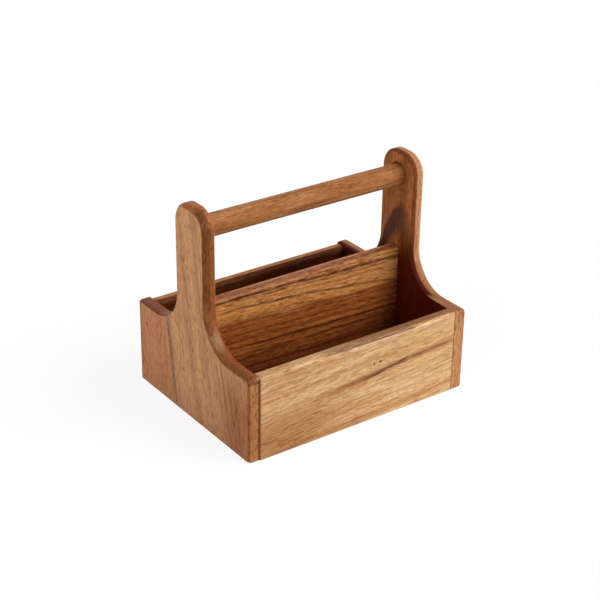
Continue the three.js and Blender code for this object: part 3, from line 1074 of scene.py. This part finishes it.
def divider_wood(settings):
    """Strongly figured: golden bands and dark wavy lines over an orange brown, with painted shade low down
    and in the joints at its ends.
    """
    wood = Wood("divider wood", DIVIDER_LIGHT, Growth(
        slope=-0.04, pith=(190.0, -40.0), ring_gap=3.6, ring_strength=0.5, wander=2.6, fibre=0.25, pores=0.42,
        vessel=(8.5, 1.4), seed=12.7))
    x, y, z = wood.places
    wood.saw(along=x, across=z, depth=y)
    wood.start(settings.figured_middle, settings.figured_middle, settings.figured_dark)
    waves = wood.sway(wood.spread((50, 7), 2.0), 20.0)
    wood.lay("golden bands", settings.figured_light, 0.85, (wood.add(wood.bent, waves), 84, 102))
    wood.shade("growth rings", wood.minus(1.0, wood.times(wood.rings(), 0.16)))
    wood.lay_streaks(
        Streak(117.2, 0.008, 3.3, -135, 130, 22, "45201C", 1.0),
        Streak(120.6, 0.025, 1.0, -25, 130, 20, "5A2E22", 0.75),
        Streak(113.2, 0.0, 1.5, -90, 110, 25, "5E3218", 0.7),
        Streak(109.0, -0.02, 1.0, -60, 110, 25, "7A4828", 0.5),
        Streak(102.2, -0.06, 1.9, -104, 110, 20, "54291A", 0.9, bend=-0.0003),
        Streak(96.5, -0.04, 4.0, -110, 110, 25, "BE8646", 0.75),
        Streak(88.0, -0.02, 1.2, -110, 110, 25, "6A3C1C", 0.5),
        Streak(77.0, 0.0, 1.6, -110, 120, 30, "5A300F", 0.5),
        Streak(62.5, 0.0, 2.0, -80, 130, 20, "381608", 1.0, bend=0.00015),
        Streak(53.5, 0.04, 1.5, -10, 120, 20, "3C1A0A", 0.85),
        Streak(55.0, 0.07, 3.2, -100, -5, 20, "4A2410", 0.75),
        Streak(42.0, 0.03, 2.0, -110, 120, 30, "381604", 0.6),
    )
    top = wood.rise(z, 120.6, 123.2)
    wood.lay("top edge", "A5754A", 0.7, top)
    shaded = wood.larger(wood.rise(y, 1.5, -0.5), wood.rise(x, -60, -105))
    wood.lay("shaded top edge", "74482C", 0.75, top, shaded)
    # Painted shade low down, towards the floor of the compartment.
    wood.lay("low down", "43180A", 0.7, (z, 66, 34))
    # Painted shade in the gap where the divider meets the end panels.
    wood.lay("shaded joint", "2A1208", 0.8, (wood.size_of(x), INNER_FACE - 1.3, INNER_FACE - 0.3))
    return wood.finish(bump=0.35, gloss=0.12)


def left_panel_wood(settings):
    """Plain tan with upright stripes, redder low down and behind, and dark along the sawn edges."""
    wood = Wood("left panel wood", LEFT_LIGHT, Growth(
        slope=0.17, pith=(20.0, 160.0), ring_gap=5.0, ring_strength=0.3, wander=1.6, fibre=0.13, pores=0.33,
        vessel=(9.0, 1.3), seed=5.9))
    x, y, z = wood.places
    depth = wood.add(x, HALF_LENGTH)
    wood.saw(along=z, across=y, depth=depth)
    wood.start(settings.light, settings.middle, settings.dark)
    wood.lay("back half", "AA6F43", 0.75, (wood.minus(y, wood.times(z, 0.155)), 24, 34), (z, 108, 84))
    wood.lay("low front", "8A4F20", 0.9, (y, -30, -80), (z, 104, 40))
    wood.lay("low down", "96623A", 0.35, (z, 60, 0))
    wood.lay_streaks(
        Streak(27.5, -0.015, 6.5, -40, 118, 30, "8A5C3E", 0.7),
        Streak(27.5, -0.015, 3.0, -10, 108, 35, "6C4632", 0.8),
        Streak(-14.0, 0.03, 4.5, -40, 128, 35, "90603F", 0.65),
        Streak(-69.5, 0.05, 2.6, -40, 92, 25, "6A3C20", 0.8),
        Streak(-61.0, 0.04, 1.4, -40, 90, 25, "744426", 0.7),
        Streak(-47.0, 0.02, 4.0, -40, 95, 30, "BA8A5C", 0.4),
        Streak(-86.0, 0.03, 3.4, -60, 80, 30, "70401F", 0.75),
        Streak(-79.0, 0.05, 1.5, -60, 84, 30, "643A26", 0.7),
        Streak(4.0, 0.0, 3.0, -40, 210, 40, "B88A5E", 0.4),
        Streak(50.0, 0.0, 2.0, -40, 90, 25, "8C5838", 0.5),
    )
    wood.lay("back edge", "70422A", 0.6, (y, HALF_DEPTH - 8.25, HALF_DEPTH - 0.25), (z, 96, 90))
    sawn_neck(wood, depth)
    sawn_post(wood, depth)
    wood.lay("small knot", "6E4448", 0.6, wood.spot(y, z, (4.9, 201.3), 1.6), (depth, 1.0, 0.5))
    return wood.finish()


def sawn_neck(wood, depth):
    """The sawn edge of the left panel's neck, crown, coves and shoulders, darker than its face, with a
    painted sheen in the cove and a painted highlight along the inner arris.
    """
    y, z = wood.places[1:]
    from_face = (depth, 0.05, 0.5)
    from_inside = (depth, PANEL_THICKNESS - 0.02, PANEL_THICKNESS - 0.1)
    sawn = wood.mask(from_face, from_inside, (z, 84.5, 87.0))
    outer = wood.mask(sawn, (depth, 7.6, 6.0))
    crown = wood.mask(sawn, (z, 206, 216))
    mottle = wood.patches((22, 3.5), 23.0, edge=0.15)
    wood.lay("sawn edge", "7D431B", 0.92, sawn)
    wood.lay("outer half", "60350C", wood.rise(mottle, 0, 1, 0.6, 0.95), outer)
    wood.lay("outer half, low", "855A2E", 0.3, outer, (z, 150, 125))
    # Painted sheen in the middle of the cove, where the oiled surface reflects the light.
    sheen = wood.mask(wood.within(z, 97, 101, 6), wood.within(depth, 3, 8, 4))
    wood.lay("painted sheen in the cove", "98775C", 0.45, sawn, sheen)
    wood.lay("front tip", "BC927A", 0.7, sawn, (wood.add(y, HALF_DEPTH), 3.75, 1.75), (depth, 8.5, 11.5))
    wood.lay("back shoulder", "6E361A", 0.55, sawn, (y, 45, 70))
    wood.lay("crown", "9A6030", 0.8, crown)
    wood.lay("crown's front", "4A220A", 0.75, crown, (y, -4, -14), (depth, 9, 6))
    # Painted highlight along the inner arris of the neck, where it catches the light.
    wood.lay("painted highlight, inner arris", "E2AE82", 0.8, (z, 120, 150), wood.within(depth, 12.2, 13.1, 0.4))


def sawn_post(wood, depth):
    """The sawn front edge of the left panel's post, with a red band towards the front board."""
    y, z = wood.places[1:]
    post = wood.mask((z, 87.0, 84.5), (depth, 0.05, 0.4), (wood.add(y, HALF_DEPTH), 4.25, 2.75))
    wood.lay("post", "976736", 0.85, post)
    wood.lay("shoulder line", "5C300F", 0.8, post, wood.within(z, 83.6, 86.0, 1.6))
    wood.lay("outer corner", "5E3418", 0.65, post, wood.within(depth, 0.5, 1.6, 0.6))
    wood.lay("red band", "5A2614", 0.85, post, (depth, 10.1, 10.9))


def right_panel_wood(settings):
    """Reddish heartwood with a dark arched figure below the rail, painted shade on its inner face, and a
    paler outer half.
    """
    wood = Wood("right panel wood", RIGHT_LIGHT, Growth(
        slope=0.0, pith=(-10.0, -70.0), ring_gap=6.0, ring_strength=0.3, wander=1.6, fibre=0.16, pores=0.36,
        vessel=(8.0, 1.15), seed=21.3))
    x, y, z = wood.places
    wood.saw(along=z, across=y, depth=wood.minus(HALF_LENGTH, x))
    wood.start(settings.heart_light, settings.heart_middle, settings.heart_dark)
    sideways = wood.minus(wood.bent, ARCH_MIDDLE)
    arch = wood.add(z, wood.times(sideways, sideways, ARCH_BEND))
    wood.lay("arched figure", "402823", 0.95, (arch, 171, 163), (arch, 127, 150), (y, -24, 0))
    for height, share in ((174.0, 0.4), (181.0, 0.3), (188.5, 0.2)):
        wood.lay("arched line", "9A6642", share, (wood.size_of(wood.minus(arch, height)), 2.2, 0.0))
    sunk = wood.minus(x, INNER_FACE)
    off_face = wood.rise(sunk, *OFF_FACE)
    # Painted shade on the inner face, towards the front and deepening low down.
    front_half = wood.larger(wood.rise(y, 4, -14), wood.rise(z, 124, 112))
    wood.lay("painted shade, inner face", "380C02", 0.97, wood.minus(1.0, off_face), front_half, (z, 172, 108))
    above = wood.rise(z, *SHOULDER_EDGE)
    sapwood(wood, sunk, off_face, above)
    outer_half(wood, sunk, off_face, above)
    return wood.finish(gloss=0.06)


def sapwood(wood, sunk, off_face, above):
    """Pale sapwood on the right panel's outer half, and all through below its shoulders. Sunk is the depth
    below the panel's inner face, and above is 1 above the shoulders."""
    z = wood.places[2]
    below = wood.minus(1.0, above)
    heart = wood.mask(off_face, above)
    pale = wood.add(wood.mask((sunk, *SAP_EDGE), above), below)
    wood.lay("heartwood", "56301C", 0.85, heart)
    wood.lay("heartwood, low", "3A0E03", 0.97, heart, (z, 146, 116))
    wood.lay("sapwood", "977264", 0.95, pale, off_face)
    wood.lay("outer arris", "BA8C70", 0.6, above, (sunk, 8.0, 11.0))
    wood.lay("below the shoulder", "95715B", 0.8, below, off_face)


def outer_half(wood, sunk, off_face, above):
    """The right panel's outer face, the shade in its coves and the pink wedge at its foot."""
    z = wood.places[2]
    outer_face = wood.rise(sunk, PANEL_THICKNESS - 0.7, PANEL_THICKNESS - 0.2)
    wood.lay("outer face, patches", "744A34", 0.65, outer_face, wood.patches((120, 9), 31.0, edge=0.12))
    wood.lay("outer face, rings", "5E3A28", 0.5, outer_face, wood.rings())
    wedge = wood.minus(sunk, wood.times(wood.minus(z, WEDGE_HEIGHT), WEDGE_SLOPE))
    edge = wood.mask(off_face, wood.minus(1.0, outer_face))
    wood.lay("pink wedge", "946E5A", 0.5, edge, wood.minus(1.0, above), (wedge, -0.6, 0.8))
    cove = wood.mask(off_face, wood.within(z, 88, 104, 16), (sunk, *SAP_EDGE))
    wood.lay("cove", "7E5742", 0.8, cove)
    wood.lay("cove, inner half", "65402C", 0.7, cove, (sunk, 7.0, 4.5))


def rail_wood(settings):
    """Reddish brown with fine streaks along the rail, and painted light that makes it paler above and below
    its middle.
    """
    wood = Wood("rail wood", RAIL_LIGHT, Growth(
        slope=0.012, pith=(190.0, 14.0), ring_gap=2.4, ring_strength=0.5, wander=1.0, fibre=0.14, pores=0.34,
        vessel=(9.0, 0.9), seed=16.2))
    x, y, z = wood.places
    wood.saw(along=x, across=z, depth=y)
    wood.start(settings.light, settings.middle, settings.dark)
    # Painted light: paler below the rail's middle, and a little paler above it.
    below_middle = wood.minus(node_centre("handle_rail").z / MM, z)
    wood.shade("underside", wood.rise(below_middle, 0, 9, 1.0, 1.5))
    wood.shade("upper side", wood.rise(below_middle, -2, -10, 1.0, 1.15))
    return wood.finish(roughness=0.45, gloss=0.1)


def floor_panel_wood():
    """Brown and plain; it lies in the shade of the compartments."""
    wood = Wood("floor panel wood", FLOOR_PANEL_LIGHT, Growth(
        slope=0.0, pith=(0.0, -60.0), ring_gap=7.0, ring_strength=0.4, wander=2.0, fibre=0.14, pores=0.4,
        vessel=(9.0, 1.1), seed=29.5))
    x, y, z = wood.places
    wood.saw(along=x, across=y, depth=z)
    wood.start("8A5228", "74401C", "4A240E")
    return wood.finish()


def pin_wood(settings):
    """Pale, straight grained and left raw."""
    wood = Wood("pin wood", FRONT_LIGHT, Growth(
        slope=0.0, pith=(40.0, 40.0), ring_gap=2.0, ring_strength=0.2, wander=0.4, fibre=0.06, pores=0.1,
        vessel=(6.0, 0.8), seed=33.0))
    x, y, z = wood.places
    wood.saw(along=x, across=z, depth=y)
    wood.start(settings.pin, settings.pin, "B8935F")
    return wood.finish(roughness=0.65)


# Stage


def towards(azimuth, elevation):
    """Direction of a lamp or of the camera, seen from the caddy."""
    return Vector((sin(azimuth) * cos(elevation), -cos(azimuth) * cos(elevation), sin(elevation)))


def camera_axes():
    """Right, up and back of the camera, after its roll."""
    back = towards(VIEW_AZIMUTH, VIEW_ELEVATION)
    right = Vector((0, 0, 1)).cross(back).normalized()
    up = back.cross(right)
    turned_right = cos(VIEW_ROLL) * right + sin(VIEW_ROLL) * up
    turned_up = cos(VIEW_ROLL) * up - sin(VIEW_ROLL) * right
    return turned_right, turned_up, back


def add_camera():
    right, up, back = camera_axes()
    aim = right * VIEW_AIM[0] + up * VIEW_AIM[1]
    data = bpy.data.cameras.new("camera")
    data.sensor_width = SENSOR
    data.lens = VIEW_LENS
    camera = new_piece("camera", data)
    turn = Matrix((right, up, back)).transposed().to_4x4()
    camera.matrix_world = Matrix.Translation(aim + back * VIEW_DISTANCE) @ turn
    bpy.context.scene.camera = camera


def add_lamp(name, place, share):
    """A soft distant lamp. Share 1 lights a surface that faces it to its own colour."""
    data = bpy.data.lights.new(name, "SUN")
    data.angle = LAMP_SPREAD
    data.energy = share * pi
    lamp = new_piece(name, data)
    lamp.matrix_world = towards(*place).to_track_quat("Z", "Y").to_matrix().to_4x4()


def seen_directly(nodes):
    """1 for rays that come from the camera or from a mirror or glass, else 0."""
    path = nodes.node("ShaderNodeLightPath").outputs
    seen = path["Is Camera Ray"]
    for label in ("Is Glossy Ray", "Is Transmission Ray"):
        seen = nodes.math("MAXIMUM", seen, path[label])
    return seen


def add_floor(settings):
    """A pale floor that looks white and keeps a faint shadow."""
    material = bpy.data.materials.new("floor")
    material.use_nodes = True
    nodes = Nodes(material.node_tree)
    diffuse = nodes.flow("ShaderNodeBsdfDiffuse", {"Color": settings.floor})
    glow = nodes.flow("ShaderNodeEmission", {"Strength": settings.glow})
    share = nodes.times(seen_directly(nodes), 1 - settings.shadow)
    surface = nodes.flow("ShaderNodeMixShader", {0: share, 1: diffuse, 2: glow})
    nodes.node("ShaderNodeOutputMaterial", {"Surface": surface})
    corners = [(-1, -1), (1, -1), (1, 1), (-1, 1)]
    points = [(x * FLOOR_HALF, y * FLOOR_HALF, -FLOOR_DROP) for x, y in corners]
    floor = new_piece("floor", mesh_from("floor", points, faces=[(0, 1, 2, 3)]))
    floor.data.materials.append(material)


def add_world(settings):
    """White where it is seen, dimmer where it lights the caddy."""
    world = bpy.data.worlds.new("studio")
    bpy.context.scene.world = world
    world.use_nodes = True
    nodes = Nodes(world.node_tree)
    shares = {"Value": seen_directly(nodes), "To Min": settings.ambient, "To Max": 1.0}
    strength = nodes.flow("ShaderNodeMapRange", shares)
    surface = nodes.flow("ShaderNodeBackground", {"Color": (1, 1, 1), "Strength": strength})
    nodes.node("ShaderNodeOutputWorld", {"Surface": surface})


class CADDY_OT_stage(bpy.types.Operator):
    """Adds the floor, the lamps, the surroundings and the camera"""

    bl_idname = "caddy.stage"
    bl_label = "Stage"

    def execute(self, context):
        settings = context.scene.caddy_stage
        add_camera()
        add_floor(settings)
        add_world(settings)
        add_lamp("key lamp", KEY_LAMP, settings.key)
        add_lamp("fill lamp", FILL_LAMP, settings.fill)
        context.scene.view_settings.view_transform = "Standard"
        return {"FINISHED"}


# Sidebar and registration


class CADDY_PT_sidebar(bpy.types.Panel):
    """Lists the caddy's operators"""

    bl_idname = "CADDY_PT_sidebar"
    bl_label = "Table Caddy"
    bl_space_type = "VIEW_3D"
    bl_region_type = "UI"
    bl_category = "Caddy"

    def draw(self, context):
        for operator in OPERATORS:
            self.layout.operator(operator.bl_idname)


OPERATORS = (
    CADDY_OT_end_panels,
    CADDY_OT_side_boards,
    CADDY_OT_divider,
    CADDY_OT_floor_panel,
    CADDY_OT_rail,
    CADDY_OT_pins,
    CADDY_OT_stage,
)
SETTINGS = {
    "caddy_panel": CaddyPanelSettings,
    "caddy_board": CaddyBoardSettings,
    "caddy_rail": CaddyRailSettings,
    "caddy_stage": CaddyStageSettings,
}


def register():
    for kind in (*SETTINGS.values(), *OPERATORS, CADDY_PT_sidebar):
        bpy.utils.register_class(kind)
    for name, kind in SETTINGS.items():
        setattr(bpy.types.Scene, name, PointerProperty(type=kind))


def unregister():
    for name in SETTINGS:
        delattr(bpy.types.Scene, name)
    for kind in (CADDY_PT_sidebar, *reversed(OPERATORS), *SETTINGS.values()):
        bpy.utils.unregister_class(kind)


def main():
    register()
    bpy.ops.caddy.end_panels()
    bpy.ops.caddy.side_boards()
    bpy.ops.caddy.divider()
    bpy.ops.caddy.floor_panel()
    bpy.ops.caddy.rail()
    bpy.ops.caddy.pins()
    bpy.ops.caddy.stage()


if __name__ == "__main__":
    main()
